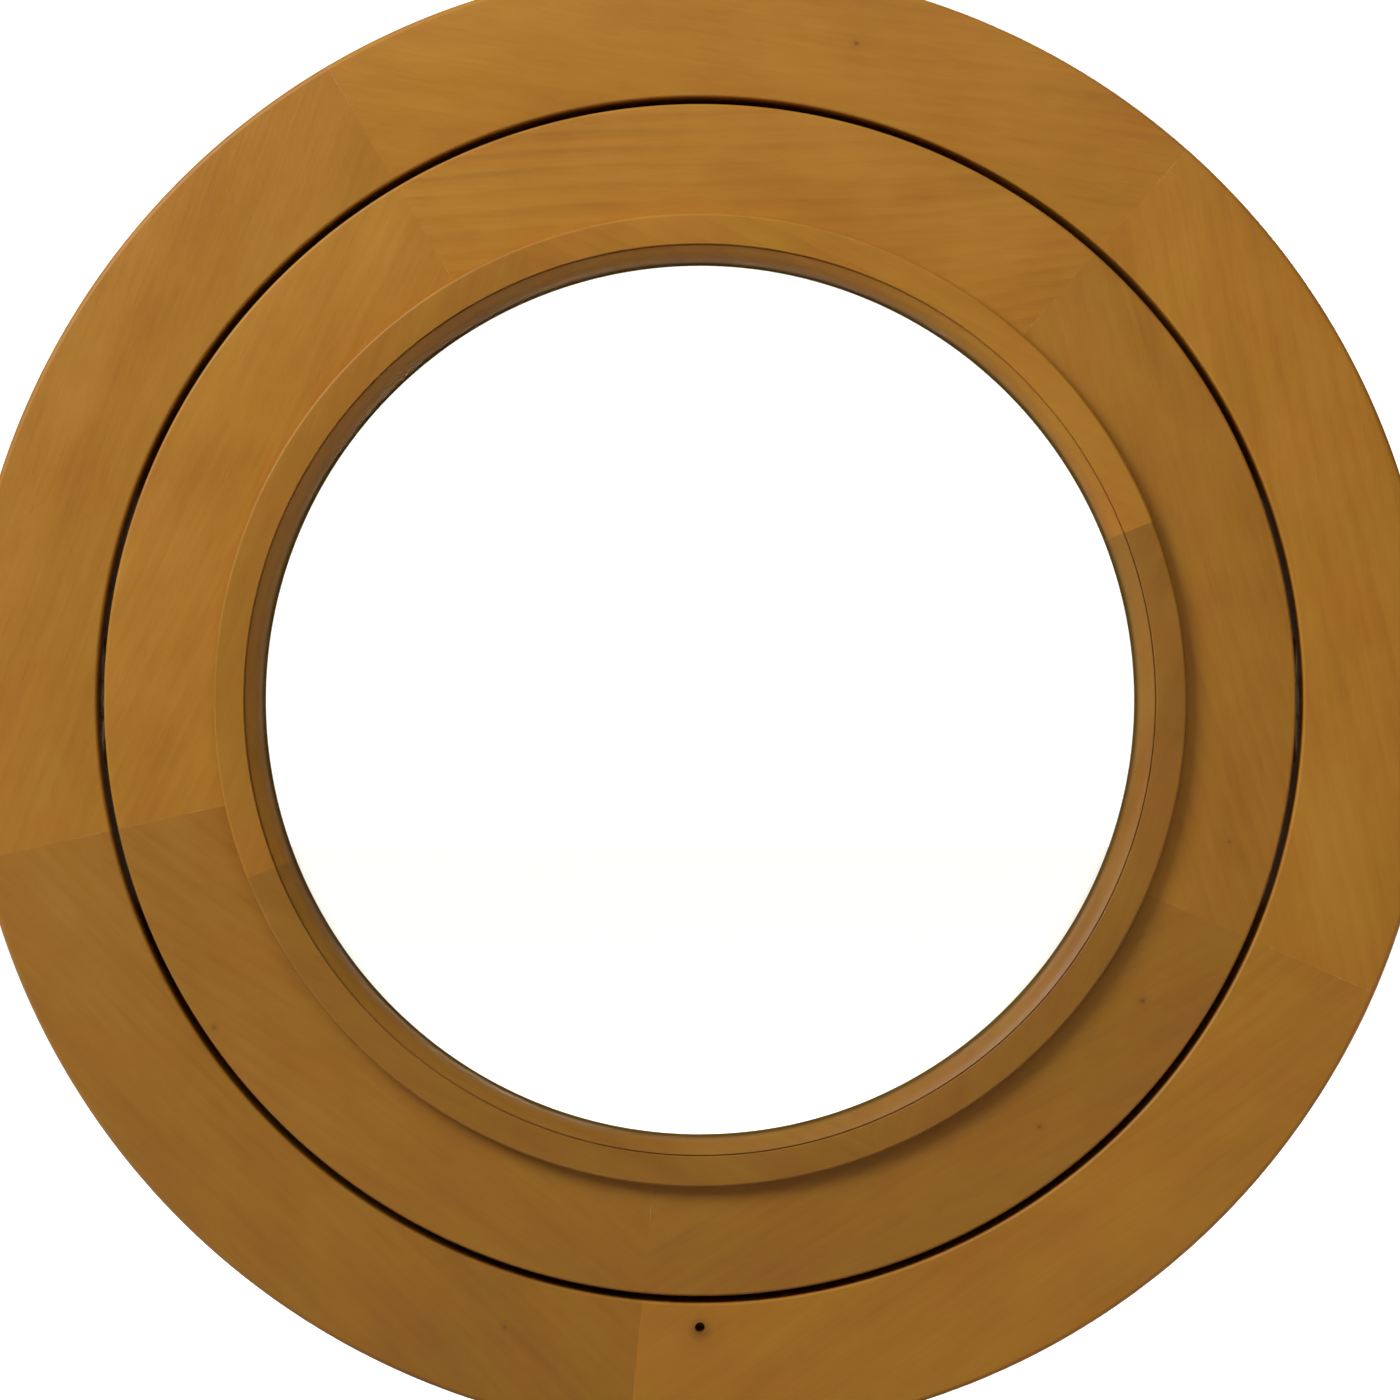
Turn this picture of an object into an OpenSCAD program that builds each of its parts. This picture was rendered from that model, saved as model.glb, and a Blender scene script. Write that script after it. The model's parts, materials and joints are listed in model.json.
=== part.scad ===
// Round timber pivot window: a frame ring, a glazed sash ring that turns in it about a level axis,
// and the stops that close the gap on the outside.
// +Z is up, -Y is the room side and the origin is the centre of the window on the pivot axis.

/* [Frame ring] */
// Outside diameter of the frame ring
frame_d = 800; // [600:10:1200]
// Width of the frame ring's face
frame_face = 72; // [56:1:100]
// Depth of the frame and sash rings, room side to outside
ring_depth = 68; // [60:1:82]
// Rounding of the rings' long edges
arris = 3; // [1:0.5:5]

/* [Sash ring] */
// Open gap between the frame and the sash
gap = 4; // [3:0.5:8]
// Width of the sash face that shows outside the bead
sash_face = 60; // [44:1:90]
// Depth of the lip behind the glass
lip_depth = 24; // [16:1:30]
// How far the lip reaches in past the bead's outer edge
lip_reach = 21; // [14:1:28]
// Chamfer on the lip's outside edge
lip_chamfer = 6; // [2:0.5:10]

/* [Glazing bead] */
// Width of the bead from its outer edge to the clear opening
bead_w = 27; // [20:1:36]
// How far the bead stands above the sash face
bead_proud = 8; // [2:0.5:14]
// Fall of the bead's flat top towards the glass, in degrees
bead_fall = 5; // [0:1:10]
// Radius of the bead's outer top edge
bead_nose = 1.5; // [0.5:0.5:3]
// Width of the bead's inner moulding
moulding_w = 10.5; // [6:0.5:14]
// Slope of the moulding's top edge, in degrees: 0 makes a true quarter-round
moulding_slope = 30; // [0:5:40]
// Height of the step beside the moulding
quirk = 2; // [1:0.5:4]

/* [Glass unit] */
// Thickness of each pane
pane = 4; // [3:0.5:6]
// Space between the panes
cavity = 12; // [8:1:14]
// Thickness of each glazing tape
tape = 3; // [1:0.5:4]
// Room round the panes' edge for the setting blocks
edge_room = 4; // [3:0.5:8]
// Radial width of the spacer bar
spacer_w = 7; // [5:0.5:9]
// Radial width of the edge sealant
sealant_w = 6; // [4:0.5:8]
// Radial width of each glazing tape
tape_w = 11; // [6:0.5:12]

/* [Pivots] */
// Diameter of the pivot pin
pin_d = 12; // [8:1:16]
// Length of the pin's bearing in the frame
bearing_l = 26; // [16:1:36]
// Wall of the bush round the pin
bush_wall = 4; // [2:0.5:6]
// Length of the spigot that holds the pin in the sash
spigot_l = 24; // [16:1:34]
// Length of each pivot plate
plate_l = 70; // [60:1:90]
// Width of each pivot plate
plate_w = 24; // [20:1:34]
// Thickness of each pivot plate
plate_t = 4; // [3:0.5:6]
// Diameter of the friction washer
washer_d = 22; // [18:1:30]

/* [Outside stops] */
// Thickness of the stops
stop_t = 14; // [10:1:20]
// How far a stop reaches over the ring that it closes on
stop_lap = 18; // [14:1:24]
// Width of a stop on the ring that carries it
stop_seat = 24; // [18:1:30]
// Angle between the pivot axis and the ends of the stops
stop_end = 20; // [16:1:30]
// Height of the rubber seal
seal_h = 3.2; // [2:0.2:5]
// Width of the rubber seal
seal_w = 8; // [5:0.5:10]

/* [Fasteners] */
// Diameter of the dowels in the frame's joints
frame_dowel_d = 12; // [8:1:16]
// Length of the dowels in the frame's joints
frame_dowel_l = 80; // [50:1:100]
// Diameter of the dowels in the sash's joints
sash_dowel_d = 10; // [8:1:12]
// Length of the dowels in the sash's joints
sash_dowel_l = 60; // [40:1:80]
// Distance between the two dowels in a joint
dowel_pitch = 30; // [20:1:36]
// Shank diameter of the wood screws
screw_d = 4; // [3:0.5:5]
// Length of the wood screws in the stops
stop_screw_l = 35; // [25:1:45]
// Length of the wood screws in the pivot plates
plate_screw_l = 30; // [20:1:40]
// Diameter of the brads that pin the bead
brad_d = 1.6; // [1.2:0.1:2]
// Length of the brads that pin the bead
brad_l = 38; // [30:1:45]
// Diameter of the pilot hole for a catch
catch_hole_d = 5; // [3:0.5:8]
// Depth of the pilot hole for a catch
catch_hole_depth = 20; // [10:1:30]
// Distance from the frame's inner edge to the pilot hole
catch_hole_in = 13; // [8:1:30]

/* [Hidden] */
$fn = 96;
TIMBER = [0.64, 0.43, 0.19];
STEEL = [0.72, 0.72, 0.70];
BRASS = [0.72, 0.56, 0.28];
GLASS = [0.80, 0.90, 0.88, 0.35];
RUBBER = [0.08, 0.08, 0.08];
BEECH = [0.82, 0.70, 0.52];
NYLON = [0.85, 0.83, 0.76];

RING_SEGMENTS = 5;
BEAD_SEGMENTS = 4;
FIRST_RING_JOINT = 48.5;
FIRST_BEAD_JOINT = 21.5;
SIDES = [["right", 0], ["left", 180]];
BLOCK_ANGLES = [210, 270, 330];
BLOCK_SPAN = 7;
BRADS_PER_BEAD = 3;
STOP_SCREWS = 6;
STOP_SCREW_MARGIN = 10;
CATCH_ANGLE = 270;

glue_clear = 0.05;
bead_clear = 0.3;
run_clear = 0.05;
seal_clear = 0.3;
washer_clear = 0.3;
plate_clear = 0.2;
// Cuts run this far past the surface that they open.
over = 1;

SCREW_TIP_R = 0.4;
SCREW_RECESS_W = 1;
PLATE_SCREW_IN = 9;
PANE_MARGIN = 1;
BRAD_SINK = 1;
PIN_END_CLEAR = 1;
SEAL_ROUND = 1;

half = ring_depth / 2;
frame_r = frame_d / 2;
bore_r = frame_r - frame_face;
sash_r = bore_r - gap;
rebate_r = sash_r - sash_face + bead_clear;
bead_r = rebate_r - bead_clear;
clear_r = bead_r - bead_w;
lip_r = bead_r - lip_reach;

// Heights are counted along the window's own axis, with the room side positive.
lip_z = -half + lip_depth;
rear_pane_z = lip_z + tape;
front_pane_z = rear_pane_z + pane + cavity;
front_tape_z = front_pane_z + pane;
bead_back = front_tape_z + tape;
bead_top = half + bead_proud;
quirk_r = clear_r + moulding_w;
bead_top_in = bead_top - (bead_r - bead_nose - quirk_r) * tan(bead_fall);
moulding_top = bead_top_in - quirk;
moulding_r = moulding_w / (1 - sin(moulding_slope));
moulding_z = moulding_top - moulding_r * cos(moulding_slope);
pane_r = rebate_r - edge_room - bead_clear;
sealant_r = pane_r - PANE_MARGIN;
spacer_r = sealant_r - sealant_w;
tape_r = pane_r - PANE_MARGIN;
brad_z = (bead_back + half) / 2;

frame_dowel_r = (bore_r + frame_r) / 2;
sash_dowel_r = (rebate_r + sash_r) / 2;

// A flat plate in the sash's curved edge sits back by the curve's rise over the plate's length.
function rise(r, chord) = r - sqrt(r * r - chord * chord / 4);
boss_r = pin_d / 2 + bush_wall;
frame_plate_x = bore_r;
sash_plate_x = sash_r - rise(sash_r, plate_l);
plate_apart = frame_plate_x - sash_plate_x;
plate_screw_pitch = plate_l - 2 * PLATE_SCREW_IN;

stop_z = -half - stop_t;
frame_stop_in = sash_r - stop_lap;
frame_stop_out = bore_r + stop_seat;
sash_stop_in = sash_r - stop_seat;
sash_stop_out = bore_r + stop_lap;
seal_inset = (stop_lap - arris - seal_w) / 2;
seal_z = -half - seal_h - seal_clear;
frame_screw_r = (bore_r + arris + frame_stop_out) / 2;
sash_screw_r = (sash_r - arris + sash_stop_in) / 2;

function named(stem, count) = [for (i = [1:count]) str(stem, i)];

// ---- Shared shapes ----

// Stands the window up: its own axis comes to face the room, along -Y.
module upright() {
    rotate([90, 0, 0]) children();
}

function joint_angle(first, count, i) = first + 360 / count * i;

function arc(centre, r, from, to, steps) =
    [for (i = [0:steps]) let (a = from + (to - from) * i / steps) centre + r * [cos(a), sin(a)]];

// A rectangle from corner lo to corner hi with its corners rounded.
module rounded(lo, hi, r) {
    size = hi - lo;
    translate([lo.x + r, lo.y]) square([size.x - 2 * r, size.y]);
    translate([lo.x, lo.y + r]) square([size.x, size.y - 2 * r]);
    for (x = [lo.x + r, hi.x - r], y = [lo.y + r, hi.y - r]) translate([x, y]) circle(r);
}

// Turns a section of radius and height about the window's axis, between two angles.
module sweep(from, to) {
    rotate([0, 0, from]) rotate_extrude(angle = to - from) children();
}

// One of count equal lengths of a ring, numbered from 1; the first joint is where number 1 starts.
module ring_segment(first, count, i) {
    sweep(joint_angle(first, count, i - 1), joint_angle(first, count, i)) children();
}

module ring(inner, outer, low, high) {
    difference() {
        translate([0, 0, low]) cylinder(r = outer, h = high - low);
        translate([0, 0, low - over]) cylinder(r = inner, h = high - low + 2 * over);
    }
}

// A countersunk wood screw along +Z, its head's face at the origin. grow widens it into its own hole.
module wood_screw(length, grow = 0) {
    head_r = screw_d + grow;
    shank_r = screw_d / 2 + grow;
    tip = screw_d;
    translate([0, 0, -grow]) cylinder(r1 = head_r, r2 = shank_r, h = screw_d / 2 + grow);
    cylinder(r = shank_r, h = length - tip + grow);
    translate([0, 0, length - tip + grow]) cylinder(r1 = shank_r, r2 = SCREW_TIP_R + grow, h = tip);
}

// The screw with its cross recess.
module screw(length) {
    difference() {
        wood_screw(length);
        for (turn = [0, 90])
            rotate([0, 0, turn]) translate([-screw_d / 2, -SCREW_RECESS_W / 2, -over])
                cube([screw_d, SCREW_RECESS_W, over + screw_d / 4]);
    }
}

// The screw's own hole, with the way in for its head.
module screw_hole(length) {
    wood_screw(length, glue_clear);
    translate([0, 0, -over]) cylinder(r = screw_d + 2 * glue_clear, h = over);
}

// ---- Places of what repeats ----

// Two dowels side by side across every joint of a ring, at radius r.
module at_dowels(r) {
    for (i = [0:RING_SEGMENTS - 1], z = [-1, 1] * dowel_pitch / 2)
        rotate([0, 0, joint_angle(FIRST_RING_JOINT, RING_SEGMENTS, i)])
            translate([r, 0, z]) rotate([90, 0, 0]) children();
}

module dowel_hole(diameter, length) {
    cylinder(d = diameter + 2 * glue_clear, h = length + over, center = true);
}

// The screws of the stop that starts at angle from, at radius r.
module at_stop_screws(r, from) {
    span = 180 - 2 * stop_end - 2 * STOP_SCREW_MARGIN;
    for (i = [0:STOP_SCREWS - 1])
        rotate([0, 0, from + stop_end + STOP_SCREW_MARGIN + span * i / (STOP_SCREWS - 1)])
            translate([r, 0, stop_z]) children();
}

// A pivot plate's place: its face at the origin, its back and boss along +Z into the timber.
module at_frame_plate(angle) {
    rotate([0, 0, angle]) translate([frame_plate_x, 0, 0]) rotate([0, 90, 0]) children();
}

module at_sash_plate(angle) {
    rotate([0, 0, angle]) translate([sash_plate_x, 0, 0]) rotate([0, -90, 0]) children();
}

module at_plate_screws() {
    for (y = [-1, 1] * plate_screw_pitch / 2) translate([0, y, 0]) children();
}

// The brads go in from the bead's inner face, spaced evenly between its joints.
module at_brads() {
    step = 360 / BEAD_SEGMENTS / BRADS_PER_BEAD;
    for (i = [0:BEAD_SEGMENTS * BRADS_PER_BEAD - 1])
        rotate([0, 0, FIRST_BEAD_JOINT + step * (i + 0.5)])
            translate([clear_r + BRAD_SINK, 0, brad_z]) rotate([0, 90, 0]) children();
}

// ---- Frame ring ----

module frame_segment(i) {
    color(TIMBER) upright() difference() {
        ring_segment(FIRST_RING_JOINT, RING_SEGMENTS, i) rounded([bore_r, -half], [frame_r, half], arris);
        at_dowels(frame_dowel_r) dowel_hole(frame_dowel_d, frame_dowel_l);
        for (side = SIDES) at_frame_plate(side[1]) {
            pivot_plate(bearing_l, plate_clear, plate_apart);
            at_plate_screws() screw_hole(plate_screw_l);
        }
        at_stop_screws(frame_screw_r, 0) screw_hole(stop_screw_l);
        rotate([0, 0, CATCH_ANGLE]) translate([bore_r + catch_hole_in, 0, half - catch_hole_depth])
            cylinder(d = catch_hole_d, h = catch_hole_depth + over);
    }
}

module frame_dowels() {
    color(BEECH) upright() at_dowels(frame_dowel_r)
        cylinder(d = frame_dowel_d, h = frame_dowel_l, center = true);
}

// ---- Sash ring ----

// A ring with a rebate for the glass and bead, and a lip behind the glass.
module sash_section() {
    difference() {
        rounded([lip_r, -half], [sash_r, half], arris);
        translate([lip_r - over, lip_z]) square([rebate_r - lip_r + over, ring_depth]);
        translate([lip_r, -half]) rotate(45) square(lip_chamfer * sqrt(2), center = true);
    }
}

module sash_segment(i) {
    color(TIMBER) upright() difference() {
        ring_segment(FIRST_RING_JOINT, RING_SEGMENTS, i) sash_section();
        at_dowels(sash_dowel_r) dowel_hole(sash_dowel_d, sash_dowel_l);
        for (side = SIDES) at_sash_plate(side[1]) {
            pivot_plate(spigot_l, plate_clear, plate_apart);
            at_plate_screws() screw_hole(plate_screw_l);
        }
        at_stop_screws(sash_screw_r, 180) screw_hole(stop_screw_l);
        at_brads() cylinder(d = brad_d + 2 * glue_clear, h = brad_l + over);
    }
}

module sash_dowels() {
    color(BEECH) upright() at_dowels(sash_dowel_r)
        cylinder(d = sash_dowel_d, h = sash_dowel_l, center = true);
}

// ---- Glazing bead ----

// A flat top that falls to a small step, then a rounded moulding down to the clear opening.
module bead_section() {
    polygon(concat(
        [[quirk_r, bead_back], [bead_r, bead_back]],
        arc([bead_r - bead_nose, bead_top - bead_nose], bead_nose, 0, 90 + bead_fall, 6),
        [[quirk_r, bead_top_in]]
    ));
    intersection() {
        union() {
            translate([clear_r + moulding_r, moulding_z]) circle(moulding_r);
            translate([clear_r, moulding_z - bead_w]) square([moulding_w, bead_w]);
        }
        translate([clear_r, bead_back]) square([moulding_w, moulding_top - bead_back]);
    }
}

module bead_segment(i) {
    way_in = BRAD_SINK + over;
    color(TIMBER) upright() difference() {
        ring_segment(FIRST_BEAD_JOINT, BEAD_SEGMENTS, i) bead_section();
        at_brads() translate([0, 0, -way_in]) cylinder(d = brad_d + 2 * glue_clear, h = brad_l + way_in);
    }
}

module bead_brads() {
    color(STEEL) upright() at_brads() cylinder(d = brad_d, h = brad_l);
}

// ---- Glass unit ----

module glass_front() {
    color(GLASS) upright() translate([0, 0, front_pane_z]) cylinder(r = pane_r, h = pane);
}

module glass_rear() {
    color(GLASS) upright() translate([0, 0, rear_pane_z]) cylinder(r = pane_r, h = pane);
}

module spacer_bar() {
    color(STEEL) upright() ring(spacer_r - spacer_w, spacer_r, rear_pane_z + pane, front_pane_z);
}

module edge_sealant() {
    color(RUBBER) upright() ring(spacer_r, sealant_r, rear_pane_z + pane, front_pane_z);
}

module front_tape() {
    color(RUBBER) upright() ring(tape_r - tape_w, tape_r, front_tape_z, bead_back);
}

module rear_tape() {
    color(RUBBER) upright() ring(tape_r - tape_w, tape_r, lip_z, rear_pane_z);
}

module setting_blocks() {
    color(RUBBER) upright() for (a = BLOCK_ANGLES)
        sweep(a - BLOCK_SPAN / 2, a + BLOCK_SPAN / 2)
            translate([pane_r + glue_clear, rear_pane_z])
                square([rebate_r - pane_r - 2 * glue_clear, front_tape_z - rear_pane_z]);
}

// ---- Pivots ----

module stadium(length, width, height) {
    flat = length - width;
    for (y = [-1, 1] * flat / 2) translate([0, y, 0]) cylinder(r = width / 2, h = height);
    translate([-width / 2, -flat / 2, 0]) cube([width, flat, height]);
}

// A plate with round ends and a round boss behind it. grow and lift widen it into its own recess.
module pivot_plate(boss_l, grow = 0, lift = 0) {
    translate([0, 0, -lift]) stadium(plate_l + 2 * grow, plate_w + 2 * grow, plate_t + lift);
    cylinder(r = boss_r + grow, h = plate_t + boss_l + grow);
}

// The frame's plate, whose boss is the bush that the pin runs in.
module frame_pivot(angle) {
    color(BRASS) upright() at_frame_plate(angle) difference() {
        pivot_plate(bearing_l);
        translate([0, 0, -over]) cylinder(r = pin_d / 2 + run_clear, h = bearing_l + over);
        at_plate_screws() screw_hole(plate_screw_l);
    }
}

// The sash's plate, with the pin in front and the spigot that holds it behind.
module sash_pivot(angle) {
    reach = plate_apart + bearing_l - PIN_END_CLEAR;
    color(STEEL) upright() at_sash_plate(angle) difference() {
        union() {
            pivot_plate(spigot_l);
            translate([0, 0, -reach]) cylinder(d = pin_d, h = reach + plate_t);
        }
        at_plate_screws() screw_hole(plate_screw_l);
    }
}

module friction_washer(angle) {
    color(NYLON) upright() at_frame_plate(angle)
        ring(pin_d / 2 + run_clear, washer_d / 2, washer_clear - plate_apart, 0);
}

module frame_pivot_screws() {
    color(STEEL) upright() for (side = SIDES)
        at_frame_plate(side[1]) at_plate_screws() screw(plate_screw_l);
}

module sash_pivot_screws() {
    color(STEEL) upright() for (side = SIDES)
        at_sash_plate(side[1]) at_plate_screws() screw(plate_screw_l);
}

// ---- Outside stops ----

// The stop's back half lies on the ring that carries it. Between the radii cut_from and cut_to it is
// cut back to make room for the seal.
module stop_section(inner, outer, cut_from, cut_to) {
    difference() {
        rounded([inner, stop_z], [outer, -half + arris], arris);
        translate([inner - over, -half]) square([outer - inner + 2 * over, arris + over]);
        translate([cut_from, seal_z]) square([cut_to - cut_from, seal_h + seal_clear + over]);
    }
}

module frame_stop() {
    color(TIMBER) upright() difference() {
        sweep(stop_end, 180 - stop_end)
            stop_section(frame_stop_in, frame_stop_out, frame_stop_in - over, bore_r - gap / 2);
        at_stop_screws(frame_screw_r, 0) screw_hole(stop_screw_l);
    }
}

module sash_stop() {
    color(TIMBER) upright() difference() {
        sweep(180 + stop_end, 360 - stop_end)
            stop_section(sash_stop_in, sash_stop_out, sash_r + gap / 2, sash_stop_out + over);
        at_stop_screws(sash_screw_r, 180) screw_hole(stop_screw_l);
    }
}

// A strip with a flat base and rounded top corners, on the stop that starts at angle from.
module seal(from, inner) {
    color(RUBBER) upright() sweep(from + stop_end, from + 180 - stop_end) difference() {
        rounded([inner, seal_z - SEAL_ROUND], [inner + seal_w, seal_z + seal_h], SEAL_ROUND);
        translate([inner - over, seal_z - SEAL_ROUND - over])
            square([seal_w + 2 * over, SEAL_ROUND + over]);
    }
}

module frame_stop_seal() {
    seal(0, frame_stop_in + seal_inset);
}

module sash_stop_seal() {
    seal(180, sash_stop_out - seal_inset - seal_w);
}

module frame_stop_screws() {
    color(STEEL) upright() at_stop_screws(frame_screw_r, 0) screw(stop_screw_l);
}

module sash_stop_screws() {
    color(STEEL) upright() at_stop_screws(sash_screw_r, 180) screw(stop_screw_l);
}

// ---- What each node draws ----

for (i = [1:RING_SEGMENTS]) frame_segment(i);
for (i = [1:RING_SEGMENTS]) sash_segment(i);
for (i = [1:BEAD_SEGMENTS]) bead_segment(i);
frame_dowels();
sash_dowels();
glass_front();
glass_rear();
spacer_bar();
edge_sealant();
front_tape();
rear_tape();
setting_blocks();
bead_brads();
for (side = SIDES) frame_pivot(side[1]);
for (side = SIDES) sash_pivot(side[1]);
for (side = SIDES) friction_washer(side[1]);
frame_pivot_screws();
sash_pivot_screws();
frame_stop();
sash_stop();
frame_stop_seal();
sash_stop_seal();
frame_stop_screws();
sash_stop_screws();
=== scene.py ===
"""The looks of a round timber pivot window, laid out as an add-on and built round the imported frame.

Heights are counted along the window's own axis with the room side positive, so height h lies at
y = -h. Angles are in degrees, counter-clockwise as seen from the room, from the right-hand pivot.
"""

import json
import math
from collections import namedtuple

import bmesh
import bpy
import numpy as np
from mathutils import Matrix, Vector


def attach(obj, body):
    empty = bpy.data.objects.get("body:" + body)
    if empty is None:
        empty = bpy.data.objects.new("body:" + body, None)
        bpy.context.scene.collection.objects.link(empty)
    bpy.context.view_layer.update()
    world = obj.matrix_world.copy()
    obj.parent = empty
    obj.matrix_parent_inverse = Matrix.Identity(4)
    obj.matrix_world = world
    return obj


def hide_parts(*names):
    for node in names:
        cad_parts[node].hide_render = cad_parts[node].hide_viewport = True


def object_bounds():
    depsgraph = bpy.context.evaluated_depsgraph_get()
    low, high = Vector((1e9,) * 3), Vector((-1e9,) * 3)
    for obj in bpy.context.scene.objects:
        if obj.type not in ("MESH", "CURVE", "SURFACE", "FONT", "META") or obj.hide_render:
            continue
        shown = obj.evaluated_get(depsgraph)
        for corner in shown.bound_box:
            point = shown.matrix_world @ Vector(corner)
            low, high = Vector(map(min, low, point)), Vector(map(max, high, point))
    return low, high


bl_info = {
    "name": "Round Pivot Window",
    "version": (1, 0, 0),
    "blender": (4, 5, 0),
    "location": "3D View > Sidebar > Round Window",
    "description": "Builds a round timber pivot window piece by piece, and the stage it stands on",
    "category": "Add Mesh",
}

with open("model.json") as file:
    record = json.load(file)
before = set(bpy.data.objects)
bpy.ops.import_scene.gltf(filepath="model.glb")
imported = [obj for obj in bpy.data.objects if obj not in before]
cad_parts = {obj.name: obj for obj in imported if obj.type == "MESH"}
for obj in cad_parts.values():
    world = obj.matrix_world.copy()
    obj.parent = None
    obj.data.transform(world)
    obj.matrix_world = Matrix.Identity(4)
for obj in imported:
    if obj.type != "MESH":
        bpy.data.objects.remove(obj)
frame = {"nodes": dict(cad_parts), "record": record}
cad_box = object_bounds()

MM = 0.001
CREASE = math.radians(35)
BODY_OF = {node: body for body, nodes in frame["record"]["behaviour"]["bodies"].items() for node in nodes}

Reach = namedtuple("Reach", "inner outer low high")
Rod = namedtuple("Rod", "place length radius")
Pivot = namedtuple("Pivot", "side near far inner outer inner_radius outer_radius length width")
Board = namedtuple("Board", "tone tilt seed spots figure", defaults=((), 0.25))
Spot = namedtuple("Spot", "radius angle size")


# ---- Measures of the frame ----


def cad(node):
    return np.array([v.co for v in frame["nodes"][node].data.vertices])


def reach(points):
    """The inner and outer radius and the lowest and highest height of some points."""
    radii = np.hypot(points[:, 0], points[:, 2])
    return Reach(radii.min(), radii.max(), -points[:, 1].max(), -points[:, 1].min())


def span(points):
    """The first and last angle of an arc of a ring."""
    middle = math.degrees(math.atan2(points[:, 2].mean(), points[:, 0].mean()))
    angles = np.degrees(np.arctan2(points[:, 2], points[:, 0]))
    turns = (angles - middle + 180) % 360 - 180
    return middle + turns.min(), middle + turns.max()


def islands(node):
    """The points of each separate solid in a CAD node."""
    bm = bmesh.new()
    bm.from_mesh(frame["nodes"][node].data)
    bmesh.ops.remove_doubles(bm, verts=bm.verts, dist=1e-6)
    seen, found = set(), []
    for first in bm.verts:
        if first in seen:
            continue
        seen.add(first)
        group = [first]
        for vert in group:
            near = [edge.other_vert(vert) for edge in vert.link_edges]
            fresh = [other for other in near if other not in seen]
            seen.update(fresh)
            group.extend(fresh)
        found.append(np.array([vert.co for vert in group]))
    bm.free()
    return found


def aimed(place, way):
    """A matrix that carries the local Z axis to a place and a direction."""
    return Matrix.Translation(place) @ Vector(way).to_track_quat("Z", "Y").to_matrix().to_4x4()


# The way that the straight bars of a CAD node run, from a bar's centre.
WAY_OF = {
    "frame_dowels": lambda centre: (-centre.z, 0, centre.x),
    "sash_dowels": lambda centre: (-centre.z, 0, centre.x),
    "bead_brads": lambda centre: (centre.x, 0, centre.z),
    "frame_stop_screws": lambda centre: (0, -1, 0),
    "sash_stop_screws": lambda centre: (0, -1, 0),
    "frame_pivot_screws": lambda centre: (centre.x, 0, 0),
    "sash_pivot_screws": lambda centre: (-centre.x, 0, 0),
}


def rods(node):
    """Each straight bar in a CAD node."""
    found = []
    for points in islands(node):
        way = Vector(WAY_OF[node](Vector(points.mean(axis=0)))).normalized()
        turn = np.array(aimed((0, 0, 0), way).to_3x3())
        local = points @ turn
        low, high = local.min(axis=0), local.max(axis=0)
        start = turn @ np.array([*(low[:2] + high[:2]) / 2, low[2]])
        found.append(Rod(aimed(Vector(start), way), high[2] - low[2], (high[0] - low[0]) / 2))
    return found


def pivot(node):
    """A pivot's sizes along X, counted away from the middle, and the plate's length and width."""
    points = cad(node)
    side = math.copysign(1, points[0, 0])
    far = points[:, 0] * side
    off_axis = np.hypot(points[:, 1], points[:, 2])
    plate = far[np.abs(points[:, 2]) > 0.9 * points[:, 2].max()]
    ends = [off_axis[np.abs(far - end) < 1e-5].max() for end in (far.min(), far.max())]
    size = points.max(axis=0) - points.min(axis=0)
    return Pivot(side, plate.min(), plate.max(), far.min(), far.max(), *ends, size[2], size[1])


# ---- Mesh making ----


def placed(name, data):
    """A new object in the scene that shows some data."""
    obj = bpy.data.objects.new(name, data)
    bpy.context.scene.collection.objects.link(obj)
    return obj


def loft(name, loops, closed=False):
    """A solid through loops of points, all with as many points; closed joins the last to the first."""
    count = len(loops[0])
    faces = []
    for i in range(len(loops) if closed else len(loops) - 1):
        here, there = i * count, (i + 1) % len(loops) * count
        for j in range(count):
            k = (j + 1) % count
            faces.append((here + j, here + k, there + k, there + j))
    if not closed:
        faces.append(tuple(range(count))[::-1])
        faces.append(tuple(range((len(loops) - 1) * count, len(loops) * count)))
    mesh = bpy.data.meshes.new(name)
    mesh.from_pydata([point for loop in loops for point in loop], [], faces)
    bm = bmesh.new()
    bm.from_mesh(mesh)
    bmesh.ops.recalc_face_normals(bm, faces=bm.faces)
    bm.to_mesh(mesh)
    bm.free()
    return placed(name, mesh)


def turned(name, outline, start=0.0, end=360.0):
    """An outline of (radius, height) points swept about the window's axis."""
    steps = round((end - start) / STEP)
    closed = end - start == 360
    angles = [math.radians(start + (end - start) * i / steps) for i in range(steps + (not closed))]
    loops = [[(r * math.cos(a), -h, r * math.sin(a)) for r, h in outline] for a in angles]
    return loft(name, loops, closed)


def spun(name, profile, place, sides=48, ripple=None, closed=False):
    """A profile of (radius, distance) points spun about the local Z axis of place."""
    loops = []
    for r, z in profile:
        loop = []
        for i in range(sides):
            a = 2 * math.pi * i / sides
            size = ripple(r, z, a) if ripple else r
            loop.append(place @ Vector((size * math.cos(a), size * math.sin(a), z)))
        loops.append(loop)
    return loft(name, loops, closed)


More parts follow.
